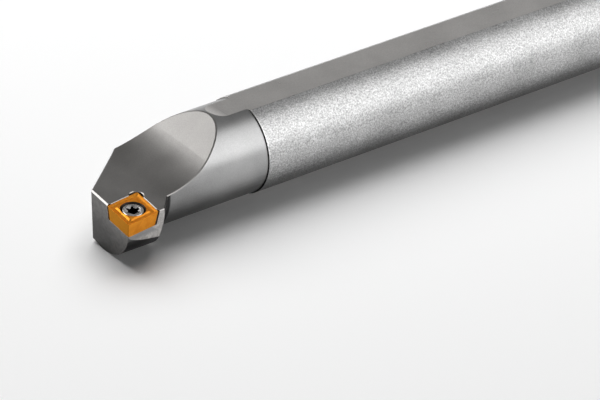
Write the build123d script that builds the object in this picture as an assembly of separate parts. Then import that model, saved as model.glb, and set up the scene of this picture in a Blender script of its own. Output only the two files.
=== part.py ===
"""A boring bar: a steel bar that carries one indexable insert at its tip, held by a countersunk screw.

X runs along the bar: the cutting end points to -X and the clamped end to +X. The cutting corner
stands out to -Y, level with the axis, and the rake face looks up to +Z. The origin lies on the
shank's axis, where the shank reaches its full diameter. All sizes are in millimetres.
"""
from build123d import *

import os
from math import cos, radians, sin, tan

# Shank
shank_diameter = 25.0
overall_length = 250.0
flat_height = 23.2
front_bevel = 0.2
rear_chamfer = 1.5

# Neck
neck_diameter = 24.3
tip_to_shank = 46.8
flat_overrun = 6.0
flat_wheel_radius = 12.0

# Head
head_radius = 12.05
head_centre_y = -4.4
head_centre_z = -1.0
shoulder_from_tip = 15.4
shoulder_angle = 45.0
corner_cut_start = -1.1
corner_cut_angle = 36.4
front_lean = 4.5
side_lean = 11.0
front_edge_chamfer = 0.4
edge_break = 0.2

# Cutting corner
corner_offset = 17.0
lead_angle = 5.0
radial_rake = 5.5
axial_rake = 1.5

# Chip pocket, measured from the cutting corner along the tilted floor
floor_rise = 0.05
ramp_start = 13.3
ramp_radius = 29.0
ramp_angle = 31.6

# Insert
inscribed_circle = 9.525
corner_angle = 80.0
insert_thickness = 3.97
flank_angle = 7.0
nose_radius = 0.4
insert_hole_diameter = 4.4
countersink_diameter = 6.4
countersink_angle = 60.0
edge_land = 0.15
groove_depth = 0.28
groove_floor_start = 0.75
groove_floor_end = 1.3
island_edge = 1.75

# Insert seat
wall_clearance = 0.02
wall_end_gap = 0.4
wall_end_length = 1.2
floor_margin = 1.0
corner_relief_radius = 1.75
corner_relief_inset = 1.5

# Clamp screw
thread_diameter = 4.0
thread_clearance = 0.03
screw_length = 8.5
screw_head_diameter = 5.35
screw_recess = 0.28
screw_end_chamfer = 0.5
screw_hole_margin = 1.0
screw_head_round = 0.35
cone_clearance = 0.02
socket_diameter = 3.6
socket_root_diameter = 2.5
socket_depth = 1.5
socket_lobe_radius = 0.4
socket_mouth_diameter = 4.0
socket_mouth_angle = 130

# Long enough to cut right through the head in any direction
reach = 2 * shank_diameter

tip_x = -tip_to_shank
shank_end = overall_length - tip_to_shank
insert_side = inscribed_circle / sin(radians(corner_angle))
flank_slope = tan(radians(flank_angle))
base_inset = insert_thickness * flank_slope
cone_slope = tan(radians(countersink_angle / 2))

from_below = (Align.CENTER, Align.CENTER, Align.MIN)
from_above = (Align.CENTER, Align.CENTER, Align.MAX)

# The insert's own frame: origin at its cutting corner, Z along its hole
tip_frame = Location((tip_x, -corner_offset, 0), (radial_rake, -axial_rake, 0))


def along_bar(x, diameter, length):
    """A cylinder on the bar's axis that starts at x."""
    return Plane.YZ.offset(x) * Cylinder(diameter / 2, length, align=from_below)


def along_edges(side, face, height=0.0):
    """A point in the insert's frame, by its distances along the side edge and the front edge."""
    lead = radians(lead_angle)
    return Vector(side * cos(lead) + face * sin(lead), side * sin(lead) + face * cos(lead), height)


def rhombus(start, end, height, radius):
    """A rounded rhombus parallel to the insert's edges, between two distances along each of them."""
    corners = [along_edges(*pair) for pair in ((start, start), (end, start), (end, end), (start, end))]
    outline = make_face(Polyline(*corners, close=True))
    return Pos(0, 0, height) * fillet(outline.vertices(), radius)


def outline_moved_in(inset, height=0.0):
    """The insert's outline at a height, with each side moved inwards by inset."""
    step = inset / sin(radians(corner_angle))
    return rhombus(step, insert_side - step, height, nose_radius)


def chip_groove():
    """The groove behind the cutting edges, all round the raised middle of the rake face."""
    bowl = loft([outline_moved_in(edge_land), outline_moved_in(groove_floor_start, -groove_depth)])
    middle = loft([outline_moved_in(groove_floor_end, -groove_depth), outline_moved_in(island_edge)])
    return bowl - middle


def hole_place():
    """The middle of the insert's top face, in the insert's frame."""
    return Location(along_edges(insert_side / 2, insert_side / 2))


def countersunk_hole():
    """The insert's hole with its conical mouth, which the screw's head pulls down on."""
    mouth_depth = (countersink_diameter - insert_hole_diameter) / 2 / cone_slope
    mouth = Cone(insert_hole_diameter / 2, countersink_diameter / 2, mouth_depth, align=from_above)
    return mouth + Cylinder(insert_hole_diameter / 2, 3 * insert_thickness)


def build_insert():
    body = loft([outline_moved_in(base_inset, -insert_thickness), outline_moved_in(0)])
    return tip_frame * (body - chip_groove() - hole_place() * countersunk_hole())


def star_socket():
    """The six-lobed recess in the screw's head, with a conical mouth that leads the key in."""
    outline = Circle(socket_root_diameter / 2)
    lobe_centre = socket_diameter / 2 - socket_lobe_radius
    outline += PolarLocations(lobe_centre, 6) * Circle(socket_lobe_radius)
    rim = socket_mouth_diameter / 2
    mouth = Cone(0, rim, rim / tan(radians(socket_mouth_angle / 2)), align=from_above)
    return extrude(outline, -socket_depth) + mouth


def build_clamp_screw():
    """The screw, whose cone bears on the insert's; its heights are measured from the insert's top face."""
    head = screw_head_diameter / 2
    shaft = thread_diameter / 2
    cone_top = (countersink_diameter / 2 - head - cone_clearance) / cone_slope
    end = screw_recess + screw_length
    profile = Polyline(
        (0, -screw_recess),
        (head, -screw_recess),
        (head, -cone_top),
        (shaft, -cone_top - (head - shaft) / cone_slope),
        (shaft, screw_end_chamfer - end),
        (shaft - screw_end_chamfer, -end),
        (0, -end),
        close=True,
    )
    section = make_face(profile)
    rim = section.vertices().group_by(Axis.Y)[-1].sort_by(Axis.X)[-1]
    turned = revolve(Plane.XZ * fillet(rim, screw_head_round), Axis.Z)
    return tip_frame * hole_place() * (turned - Pos(0, 0, -screw_recess) * star_socket())


def shank_and_neck():
    shank = along_bar(-front_bevel, shank_diameter, shank_end + front_bevel)
    ends = shank.edges().filter_by(GeomType.CIRCLE).sort_by(Axis.X)
    shank = chamfer(ends[0], front_bevel)
    shank = chamfer(shank.edges().filter_by(GeomType.CIRCLE).sort_by(Axis.X)[-1], rear_chamfer)
    return shank + along_bar(tip_x, neck_diameter, tip_to_shank)


def head_bulge():
    """The head's own round, which stands out below and beside the neck and ends in a turned shoulder."""
    bulge = Pos(0, head_centre_y, head_centre_z) * along_bar(tip_x, 2 * head_radius, tip_to_shank)
    shoulder_x = tip_x + shoulder_from_tip
    rise = shoulder_from_tip * tan(radians(shoulder_angle))
    limit = Polyline(
        (tip_x, 0),
        (tip_x, neck_diameter / 2 + rise),
        (shoulder_x, neck_diameter / 2),
        (shoulder_x, 0),
        close=True,
    )
    return bulge & revolve(make_face(limit), Axis.X)


def flat_cutter():
    """What a wheel takes off the top of the bar: a flat with a rounded run-out on the neck."""
    start = -flat_overrun
    level = flat_height / 2
    wheel = Pos(start, 0, level + flat_wheel_radius) * Rot(90, 0, 0) * Cylinder(flat_wheel_radius, reach)
    slab = Box(2 * overall_length, reach, reach, align=(Align.MIN, Align.CENTER, Align.MIN))
    return Pos(start, 0, level) * slab + wheel


def beyond(point, yaw, lean, length):
    """A block with one face through the point, turned by yaw and leaned back; it lies on its own -Y side."""
    block = Box(length, reach, 2 * reach, align=(Align.CENTER, Align.MAX, Align.CENTER))
    return Pos(*point) * Rot(0, 0, yaw) * Rot(lean, 0, 0) * block


def head_faces():
    """What is milled off round the head: its side, its front and the front corner on the far side."""
    step = base_inset / sin(radians(corner_angle))
    base = (tip_frame * Location(along_edges(step, step, -insert_thickness))).position
    side = beyond(base, lead_angle, side_lean, 2 * shoulder_from_tip)
    front = beyond(base, -90 - lead_angle, front_lean, 2 * reach)
    corner = Box(2 * reach, reach, 2 * reach, align=(Align.CENTER, Align.MIN, Align.CENTER))
    corner = Pos(tip_x, corner_cut_start, 0) * Rot(0, 0, corner_cut_angle) * corner
    return side + front + corner


def chip_pocket():
    """The open space over the rake face: a flat floor that curves up into a straight ramp."""
    entry = Line((-reach, floor_rise), (ramp_start, floor_rise))
    curve = JernArc(entry @ 1, (1, 0), ramp_radius, ramp_angle)
    ramp = PolarLine(curve @ 1, reach, direction=curve % 1)
    roof = Polyline(ramp @ 1, (-reach, (ramp @ 1).Y), entry @ 0)
    profile = Plane.XZ * make_face(entry + curve + ramp + roof)
    return tip_frame * extrude(profile, reach, both=True)


def seat_walls(gap):
    """The space for the insert, open past its two cutting edges and a gap wider along its two walls."""
    step = base_inset / sin(radians(corner_angle))
    rise = floor_margin * flank_slope
    base = rhombus(-insert_side, insert_side - step + gap, -insert_thickness, nose_radius)
    top = rhombus(-insert_side, insert_side + rise + gap, floor_margin, nose_radius)
    return loft([base, top])


def seat_mouth(relief_place):
    """What breaks the upper edges of the seat's walls and of the relief in their corner."""
    level = floor_rise - edge_break
    growth = floor_margin - level
    wall = insert_side + level * flank_slope + wall_clearance
    start = rhombus(-insert_side, wall, level, nose_radius)
    walls = loft([start, rhombus(-insert_side, wall + growth, floor_margin, nose_radius)])
    cone = Cone(corner_relief_radius, corner_relief_radius + growth, growth, align=from_below)
    return walls + relief_place * Pos(0, 0, level) * cone


def insert_seat():
    """The pocket that the insert sits in, with gaps at the walls' ends and a round relief in their corner."""
    seat = seat_walls(wall_clearance)
    wide = seat_walls(wall_end_gap)
    for end in (along_edges(insert_side, 0), along_edges(0, insert_side)):
        seat += wide & (Location(end) * Cylinder(wall_end_length, 3 * insert_thickness))
    inset = corner_relief_inset / 2 / cos(radians(corner_angle / 2))
    relief_place = Location(along_edges(insert_side - inset, insert_side - inset))
    relief = Cylinder(corner_relief_radius, insert_thickness + floor_margin, align=from_below)
    seat += relief_place * Pos(0, 0, -insert_thickness) * relief + seat_mouth(relief_place)
    depth = screw_recess + screw_length + screw_hole_margin
    hole = Cylinder(thread_diameter / 2 + thread_clearance, depth, align=from_above)
    return tip_frame * (seat + hole_place() * hole)


def pocket_rim(bar):
    """The edges where the chip pocket's surfaces end, from the foremost one back."""
    walls = chip_pocket().faces()
    inside = [f for f in bar.faces() if min(w.distance_to(f.position_at(0.5, 0.5)) for w in walls) < 1e-5]
    edges = [e for f in inside for e in f.edges()]
    rim = [e for e in edges if sum(e.is_same(other) for other in edges) == 1]
    return sorted(rim, key=lambda e: e.center().X)


def break_pocket_edges(bar):
    """Chamfers the pocket's rim, and its edge at the head's front more than the rest."""
    bar = chamfer(pocket_rim(bar)[0], front_edge_chamfer)
    return chamfer(pocket_rim(bar)[1:], edge_break)


def build_bar():
    bar = shank_and_neck() + head_bulge()
    cutter = flat_cutter()
    bar -= cutter
    bar -= Rot(180, 0, 0) * cutter
    bar -= head_faces()
    bar -= chip_pocket()
    return break_pocket_edges(bar) - insert_seat()


os.makedirs("parts", exist_ok=True)
export_step(build_bar(), "parts/bar.step")
export_step(build_insert(), "parts/insert.step")
export_step(build_clamp_screw(), "parts/clamp_screw.step")
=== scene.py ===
"""The looks of the boring bar: finishes for its pieces, a pale floor, soft studio light and the camera."""
from math import pi, radians

import bpy
from mathutils import Matrix, Vector


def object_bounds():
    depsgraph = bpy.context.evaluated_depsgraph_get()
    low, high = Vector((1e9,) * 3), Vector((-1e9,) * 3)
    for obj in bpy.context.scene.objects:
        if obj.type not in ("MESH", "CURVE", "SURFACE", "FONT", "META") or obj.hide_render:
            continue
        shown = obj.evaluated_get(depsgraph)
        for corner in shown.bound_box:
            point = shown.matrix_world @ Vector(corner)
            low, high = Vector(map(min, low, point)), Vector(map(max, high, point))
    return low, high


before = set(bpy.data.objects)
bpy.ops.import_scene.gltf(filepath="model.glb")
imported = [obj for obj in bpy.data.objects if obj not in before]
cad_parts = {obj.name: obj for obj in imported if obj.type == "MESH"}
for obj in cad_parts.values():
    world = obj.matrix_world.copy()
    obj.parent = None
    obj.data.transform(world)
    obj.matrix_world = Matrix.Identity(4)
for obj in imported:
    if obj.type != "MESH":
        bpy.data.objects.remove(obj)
cad_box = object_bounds()

MM = 0.001

# Places on the bar, in mm, as the solids have them
SHANK_FRONT = -0.2
SHANK_REAR = 201.7
FLAT_LEVEL = 11.6
FLAT_START = -6.0
HEAD_REAR = -31.0
HEAD_AXIS = (-4.4, -1.0)

# Base colours of the bar's steel, as linear greys, and its roughness
TURNED_TONE = 0.42
MILLED_TONE = 0.37
GROUND_TONE = 0.57
BLASTED_TONE = 0.50
SIDE_TONE = 0.55
TURNED_ROUGHNESS = 0.38
MILLED_ROUGHNESS = 0.36
GROUND_ROUGHNESS = 0.30
BLASTED_ROUGHNESS = 0.42

# What some places on the bar multiply their tone by: painted shade under the head, at dark edges, on the neck
# and on downward faces, and a painted highlight on the step's edge
HEAD_UNDERSIDE_SHADE = 0.11
EDGE_SHADE = 0.15
NECK_SHADE = 0.68
DOWNWARD_SHADE = 0.55
STEP_EDGE_HIGHLIGHT = 1.5

# Colours of the insert's coating: its two shades, its front flank, and the tint at grazing angles
COATING_DEEP = (0.83, 0.28, 0.024, 1.0)
COATING_PALE = (0.95, 0.37, 0.038, 1.0)
COATING_FRONT = (0.43, 0.165, 0.012, 1.0)
COATING_TINT = (1.0, 0.74, 0.42, 1.0)

# Radii about the insert's hole, in mm: the wall of the hole and the screw's recess, both painted in shade
HOLE_SHADE_RADIUS = 3.18
RECESS_RADIUS = 1.95

# Camera: where it stands, two of its directions, and its focal length in pixels of the 600 wide photo
CAMERA_PLACE = Vector((-0.6013, -0.7418, 0.4960))
CAMERA_RIGHT = Vector((0.7739, -0.6329, 0.0226))
CAMERA_DOWN = Vector((-0.2833, -0.3780, -0.8814))
FOCAL_PIXELS = 4353.3
PHOTO_WIDTH = 600
SENSOR_MM = 36.0

# The insert's frame: its origin, its turn, and in it the axis of the hole
TIP_PLACE = (-46.8, -17.0, 0.0)
TIP_TURN = (radians(5.5), radians(-1.5), 0.0)
HOLE_PLACE = (5.239, 5.239)

# Below this height in the insert's frame the screw's recess gets painted shade
SOCKET_SHADE_DEPTH = -0.65

# What the floor adds to its own brightness to be white
FLOOR_GLOW = 0.06

FLOOR_HALF = 3.0

# The point that the lamps look at: the head of the bar
AIM = Vector((-0.02, -0.005, 0.0))

# Soft boxes: direction from the head, distance and size in m, radiance, and the rays that don't see it
LAMPS = {
    "key_lamp": ((0.57, -0.60, 0.50), 0.8, (0.85, 0.78), 1.6, "diffuse"),
    "back_lamp": ((-0.566, 0.626, 0.536), 0.75, (0.70, 0.57), 2.9, "diffuse"),
    "top_lamp": ((0.28, 0.48, 0.83), 1.2, (1.5, 1.4), 3.6, "glossy"),
}

# The studio's brightness: its walls, its ceiling, and what it gives matt surfaces
WALL_LEVEL = 0.85
CEILING_LEVEL = 0.24
FILL_LEVEL = 0.03


class Graph:
    """A short way to write a material's or the world's nodes."""

    def __init__(self, tree):
        self.tree = tree
        tree.nodes.clear()

    def put(self, socket, value):
        if isinstance(value, bpy.types.NodeSocket):
            self.tree.links.new(value, socket)
        elif value is not None:
            socket.default_value = value

    def node(self, kind, settings=(), **inputs):
        made = self.tree.nodes.new(kind)
        for name, value in dict(settings).items():
            setattr(made, name, value)
        for name, value in inputs.items():
            self.put(made.inputs[name.replace("_", " ")], value)
        return made

    def math(self, operation, a, b=None, c=None, clamp=False):
        made = self.tree.nodes.new("ShaderNodeMath")
        made.operation = operation
        made.use_clamp = clamp
        for socket, value in zip(made.inputs, (a, b, c)):
            self.put(socket, value)
        return made.outputs[0]

    def times(self, first, *others):
        """The product of some numbers."""
        for other in others:
            first = self.math("MULTIPLY", first, other)
        return first

    def band(self, value, middle, outer, inner):
        """1 within inner of the middle value, 0 beyond outer."""
        return self.fade(self.math("ABSOLUTE", self.math("SUBTRACT", value, middle)), outer, inner)

    def fade(self, value, low, high, start=0.0, end=1.0):
        """Goes smoothly from start to end while value goes from low to high."""
        made = self.tree.nodes.new("ShaderNodeMapRange")
        made.interpolation_type = "SMOOTHSTEP"
        for socket, given in zip(made.inputs, (value, low, high, start, end)):
            self.put(socket, given)
        return made.outputs[0]

    def mix(self, share, a, b):
        """A number between a and b."""
        made = self.tree.nodes.new("ShaderNodeMix")
        for socket, value in zip((made.inputs[0], made.inputs[2], made.inputs[3]), (share, a, b)):
            self.put(socket, value)
        return made.outputs[0]

    def blend(self, share, a, b, mode="MIX"):
        """A colour between a and b."""
        made = self.tree.nodes.new("ShaderNodeMix")
        made.data_type = "RGBA"
        made.blend_type = mode
        for socket, value in zip((made.inputs[0], made.inputs[6], made.inputs[7]), (share, a, b)):
            self.put(socket, value)
        return made.outputs[2]

    def noise(self, vector, scale, detail=2.0, roughness=0.5):
        made = self.node("ShaderNodeTexNoise", Vector=vector, Scale=scale, Detail=detail, Roughness=roughness)
        return made.outputs["Fac"]

    def stretch(self, vector, x, y, z):
        made = self.node("ShaderNodeVectorMath", {"operation": "MULTIPLY"})
        self.put(made.inputs[0], vector)
        made.inputs[1].default_value = (x, y, z)
        return made.outputs[0]

    def place(self):
        """The point in mm, and its three coordinates."""
        point = self.node("ShaderNodeTexCoord").outputs["Object"]
        point = self.stretch(point, 1 / MM, 1 / MM, 1 / MM)
        return (point, *self.node("ShaderNodeSeparateXYZ", Vector=point).outputs)


def grey(value, warmth=0.0):
    """A linear grey, a little warm where warmth is above 0."""
    return (value * (1 + warmth), value, value * (1 - warmth), 1.0)


def new_material(name):
    material = bpy.data.materials.new(name)
    material.use_nodes = True
    return material, Graph(material.node_tree)


def finish_surface(graph, colour, roughness, height, bump_mm, edge_mm, metallic=1.0, tint=None):
    """The shader itself, with a bump of that height on top of slightly softened edges."""
    soft = graph.node("ShaderNodeBevel", {"samples": 6}, Radius=edge_mm * MM)
    bump = graph.node("ShaderNodeBump", Height=height, Distance=bump_mm * MM, Normal=soft.outputs[0])
    shader = graph.node("ShaderNodeBsdfPrincipled", Base_Color=colour, Roughness=roughness, Metallic=metallic,
                        Normal=bump.outputs[0], Specular_Tint=tint)
    graph.node("ShaderNodeOutputMaterial", Surface=shader.outputs[0])


def radial(g, y, z, normal_y, normal_z, axis=(0.0, 0.0)):
    """How far the surface faces straight away from an axis along the bar: 1 if turned, 0 well inside."""
    across = g.math("SUBTRACT", y, axis[0])
    upward = g.math("SUBTRACT", z, axis[1])
    radius = g.math("SQRT", g.math("MULTIPLY_ADD", across, across, g.times(upward, upward)))
    facing = g.math("MULTIPLY_ADD", across, normal_y, g.times(upward, normal_z))
    return g.times(g.math("DIVIDE", facing, radius), g.fade(radius, 11.0, 11.4))


def bar_steel():
    """Blasted shank, ground flats, turned neck and milled head, told apart by where they lie and face, with
    painted shade and a painted highlight in places.
    """
    material, g = new_material("bar_steel")
    point, x, y, z = g.place()
    normal = g.node("ShaderNodeNewGeometry").outputs["True Normal"]
    along, across, up = g.node("ShaderNodeSeparateXYZ", Vector=normal).outputs

    behind = g.math("MAXIMUM", g.fade(x, FLAT_START - 0.02, FLAT_START), g.fade(along, 0.005, 0.01))
    ground = g.times(g.fade(g.math("ABSOLUTE", z), FLAT_LEVEL - 0.02, FLAT_LEVEL - 0.005), behind)
    on_neck = g.fade(radial(g, y, z, across, up), 0.96, 0.98)
    on_neck = g.times(on_neck, g.fade(x, HEAD_REAR - 0.5, HEAD_REAR - 0.4))
    on_head = g.fade(radial(g, y, z, across, up, HEAD_AXIS), 0.97, 0.99)
    on_head = g.times(on_head, g.fade(x, HEAD_REAR, HEAD_REAR - 0.1))
    rear = g.fade(x, SHANK_REAR - 0.02, SHANK_REAR)
    turned = g.math("MAXIMUM", g.math("MAXIMUM", on_neck, on_head), rear)
    turned = g.math("SUBTRACT", turned, ground, clamp=True)
    past_step = g.fade(x, SHANK_FRONT - 0.05, SHANK_FRONT + 0.05)
    blasted = g.times(past_step, g.math("SUBTRACT", turned, rear))
    milled = g.math("SUBTRACT", g.math("SUBTRACT", 1, turned), ground, clamp=True)
    steep = g.times(milled, g.fade(up, 0.55, 0.2))

    grain = g.noise(point, 3.2, 3.0, 0.65)
    speckle = g.noise(point, 2.4, 3.0, 0.75)
    cloud = g.noise(point, 0.09, 3.0, 0.55)
    mottle = g.noise(point, 0.9, 4.0, 0.7)
    patches = g.noise(point, 1.6, 4.0, 0.65)
    dust = g.noise(point, 4.0, 2.0, 0.6)
    lathe_lines = g.noise(g.stretch(point, 14.0, 0.12, 0.12), 1.0, 3.0, 0.6)
    ground_lines = g.noise(g.stretch(point, 0.08, 9.0, 9.0), 1.0, 3.0, 0.6)

    tone = g.mix(ground, g.mix(milled, TURNED_TONE, MILLED_TONE), GROUND_TONE)
    tone = g.mix(blasted, tone, BLASTED_TONE)
    front = g.fade(along, -0.4, -0.6)
    # Painted shade on the head's front faces: a dark tone, darker lower down and further along +y
    front_shade_tone = g.math("ADD", g.fade(y, -14.0, -3.0, 0.095, 0.045), g.fade(z, -8.0, 0.0, 0.0, 0.075))
    tone = g.mix(steep, tone, g.mix(front, SIDE_TONE, front_shade_tone))

    # Painted shade under the head, in the neck's corner behind it, on the head's rear shoulder, in the step
    # to the shank and on the neck near the head, and a painted highlight on the edge of the step
    # Painted shade on the head's underside
    under = g.times(on_head, g.fade(up, -0.1, -0.5))
    tone = g.times(tone, g.mix(under, 1.0, HEAD_UNDERSIDE_SHADE))
    # Painted shade on the neck in the corner behind the head
    corner = g.times(g.band(x, HEAD_REAR, 0.8, 0.3), g.fade(up, 0.4, 0.1), on_neck)
    tone = g.times(tone, g.mix(corner, 1.0, EDGE_SHADE))
    # Painted shade on the neck near the head, fading out along the neck, except on its top
    shade = g.times(on_neck, g.fade(x, HEAD_REAR + 20, HEAD_REAR + 4), g.fade(up, 0.6, 0.0))
    tone = g.times(tone, g.mix(shade, 1.0, NECK_SHADE))
    # Painted shade on the head's rear shoulder and on the step from the neck to the shank
    shoulder = g.times(milled, g.fade(along, 0.2, 0.4), g.fade(x, HEAD_REAR + 1.5, HEAD_REAR + 0.5))
    beyond_flat = g.times(g.fade(y, 3.0, 4.0), g.fade(z, 8.0, 10.0))
    step = g.times(milled, g.band(x, SHANK_FRONT, 0.30, 0.25), g.math("SUBTRACT", 1, beyond_flat))
    tone = g.times(tone, g.mix(g.math("MAXIMUM", shoulder, step), 1.0, EDGE_SHADE))
    # Painted highlight on the shank's front edge, on its upper side
    rim_highlight = g.times(blasted, g.fade(x, 0.45, 0.25), g.fade(up, 0.0, 0.3))
    tone = g.times(tone, g.mix(rim_highlight, 1.0, STEP_EDGE_HIGHLIGHT))

    # The unevenness of each finish, and painted shade where the turned steel faces down
    tone = g.times(tone, g.mix(blasted, 1.0, g.fade(speckle, 0.3, 0.7, 0.60, 1.42)))
    tone = g.times(tone, g.mix(steep, 1.0, g.fade(mottle, 0.3, 0.7, 0.78, 1.22)))
    tone = g.times(tone, g.fade(cloud, 0.2, 0.8, 0.90, 1.10), g.fade(dust, 0.3, 0.7, 0.93, 1.07))
    # Painted shade on turned surfaces that face down
    tone = g.times(tone, g.mix(turned, 1.0, g.fade(up, -0.85, -0.15, DOWNWARD_SHADE, 1.0)))
    red = g.times(tone, g.mix(turned, 1.03, 1.0))
    blue = g.times(tone, g.mix(turned, 0.97, 1.0))
    colour = g.node("ShaderNodeCombineColor", Red=red, Green=tone, Blue=blue).outputs[0]

    roughness = g.mix(ground, g.mix(milled, TURNED_ROUGHNESS, MILLED_ROUGHNESS), GROUND_ROUGHNESS)
    roughness = g.mix(blasted, roughness, BLASTED_ROUGHNESS)
    roughness = g.math("ADD", roughness, g.fade(cloud, 0.25, 0.75, -0.03, 0.03))

    lines = g.mix(ground, g.mix(milled, lathe_lines, patches), ground_lines)
    relief = g.mix(blasted, g.times(lines, 0.12), grain)
    finish_surface(g, colour, roughness, relief, 0.04, 0.08)
    return material


def in_tip_frame(g):
    """The point in mm in the insert's frame: origin at its cutting corner, Z up its hole."""
    turned = g.node("ShaderNodeMapping", {"vector_type": "TEXTURE"}, Vector=g.place()[0],
                    Location=TIP_PLACE, Rotation=TIP_TURN)
    return g.node("ShaderNodeSeparateXYZ", Vector=turned.outputs[0]).outputs


def from_hole(g, x, y):
    """Distance in mm from the axis of the insert's hole."""
    across = g.math("SUBTRACT", x, HOLE_PLACE[0])
    along = g.math("SUBTRACT", y, HOLE_PLACE[1])
    return g.math("SQRT", g.math("MULTIPLY_ADD", across, across, g.times(along, along)))


def insert_coating():
    """A thin gold orange coating, finely grained, with painted shade on the wall of the hole."""
    material, g = new_material("insert_coating")
    point, *_ = g.place()
    x, y, z = in_tip_frame(g)
    grain = g.noise(point, 7.0, 3.0, 0.6)
    cloud = g.noise(point, 0.6, 3.0, 0.6)
    colour = g.blend(g.fade(cloud, 0.3, 0.7), COATING_DEEP, COATING_PALE)
    normal = g.node("ShaderNodeNewGeometry").outputs["True Normal"]
    along = g.node("ShaderNodeSeparateXYZ", Vector=normal).outputs["X"]
    colour = g.blend(g.fade(along, -0.6, -0.8), colour, COATING_FRONT)
    # Painted shade on the wall of the hole
    hole_shade = g.times(g.fade(from_hole(g, x, y), HOLE_SHADE_RADIUS, HOLE_SHADE_RADIUS - 0.04), g.fade(z, -0.01, -0.03))
    colour = g.blend(hole_shade, colour, grey(0.02))
    roughness = g.fade(grain, 0.3, 0.7, 0.30, 0.42)
    finish_surface(g, colour, roughness, grain, 0.008, 0.05, metallic=0.85, tint=COATING_TINT)
    return material


def screw_steel():
    """Bright satin steel, with painted shade in its recess."""
    material, g = new_material("screw_steel")
    point, *_ = g.place()
    x, y, z = in_tip_frame(g)
    cloud = g.noise(point, 1.5, 3.0, 0.6)
    colour = g.blend(g.fade(cloud, 0.3, 0.7), grey(0.62, 0.03), grey(0.80, 0.03))
    # Painted shade deep in the screw's recess
    socket_shade = g.times(g.fade(from_hole(g, x, y), RECESS_RADIUS, RECESS_RADIUS - 0.05),
                   g.fade(z, SOCKET_SHADE_DEPTH + 0.05, SOCKET_SHADE_DEPTH - 0.05))
    colour = g.blend(socket_shade, colour, grey(0.02))
    roughness = g.fade(cloud, 0.3, 0.7, 0.22, 0.36)
    finish_surface(g, colour, roughness, g.noise(point, 9.0), 0.01, 0.08)
    return material


def floor_paint():
    """A pale matt floor, white to the camera and in reflections, which keeps the object's shadow."""
    material, g = new_material("floor_paint")
    point, *_ = g.place()
    tone = g.fade(g.noise(point, 0.002), 0.3, 0.7, 0.88, 0.90)
    colour = g.node("ShaderNodeCombineColor", Red=tone, Green=tone, Blue=tone).outputs[0]
    paint = g.node("ShaderNodeBsdfDiffuse", Color=colour)
    rays = g.node("ShaderNodeLightPath").outputs
    seen = g.math("ADD", rays["Is Camera Ray"], rays["Is Glossy Ray"])
    seen = g.math("ADD", seen, rays["Is Transmission Ray"])
    glow = g.node("ShaderNodeEmission", Strength=g.times(g.math("MINIMUM", seen, 1), FLOOR_GLOW))
    both = g.tree.nodes.new("ShaderNodeAddShader")
    g.put(both.inputs[0], paint.outputs[0])
    g.put(both.inputs[1], glow.outputs[0])
    g.node("ShaderNodeOutputMaterial", Surface=both.outputs[0])
    return material


def dress(node, material):
    """Gives a piece of the frame its finish."""
    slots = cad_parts[node].data.materials
    slots.clear()
    slots.append(material)


def make_floor():
    half = FLOOR_HALF
    level = cad_box[0][2]
    mesh = bpy.data.meshes.new("floor")
    corners = [(-half, -half, level), (half, -half, level), (half, half, level), (-half, half, level)]
    mesh.from_pydata(corners, [], [(0, 1, 2, 3)])
    mesh.materials.append(floor_paint())
    floor = bpy.data.objects.new("floor", mesh)
    bpy.context.scene.collection.objects.link(floor)


def make_camera():
    data = bpy.data.cameras.new("camera")
    data.sensor_width = SENSOR_MM
    data.lens = FOCAL_PIXELS / PHOTO_WIDTH * SENSOR_MM
    data.clip_start = 0.05
    data.clip_end = 20.0
    camera = bpy.data.objects.new("camera", data)
    right = CAMERA_RIGHT.normalized()
    up = -CAMERA_DOWN.normalized()
    back = right.cross(up).normalized()
    up = back.cross(right)
    camera.matrix_world = Matrix.Translation(CAMERA_PLACE) @ Matrix((right, up, back)).transposed().to_4x4()
    bpy.context.scene.collection.objects.link(camera)
    bpy.context.scene.camera = camera


def make_lamp(name, direction, distance, size, radiance, unseen_by):
    """A rectangular soft box that looks at the head from that direction and shines with that radiance."""
    data = bpy.data.lights.new(name, "AREA")
    data.shape = "RECTANGLE"
    data.size, data.size_y = size
    data.energy = radiance * pi * size[0] * size[1]
    lamp = bpy.data.objects.new(name, data)
    towards = Vector(direction).normalized()
    lamp.location = AIM + distance * towards
    lamp.rotation_euler = towards.to_track_quat("Z", "Y").to_euler()
    for rays in (unseen_by, "camera"):
        setattr(lamp, "visible_" + rays, False)
    bpy.context.scene.collection.objects.link(lamp)


def make_world():
    """A studio with pale walls, which the steel mirrors low down, under a dark ceiling."""
    world = bpy.data.worlds.new("studio")
    world.use_nodes = True
    bpy.context.scene.world = world
    g = Graph(world.node_tree)
    towards = g.node("ShaderNodeSeparateXYZ", Vector=g.node("ShaderNodeTexCoord").outputs["Generated"])
    level = g.fade(towards.outputs["Z"], 0.30, 0.62, WALL_LEVEL, CEILING_LEVEL)
    level = g.mix(g.node("ShaderNodeLightPath").outputs["Is Diffuse Ray"], level, FILL_LEVEL)
    shader = g.node("ShaderNodeBackground", Strength=level)
    g.node("ShaderNodeOutputWorld", Surface=shader.outputs[0])


make_camera()
dress("bar", bar_steel())
dress("insert", insert_coating())
dress("clamp_screw", screw_steel())
make_floor()
for lamp_name, lamp_values in LAMPS.items():
    make_lamp(lamp_name, *lamp_values)
make_world()
bpy.context.scene.view_settings.view_transform = "Standard"
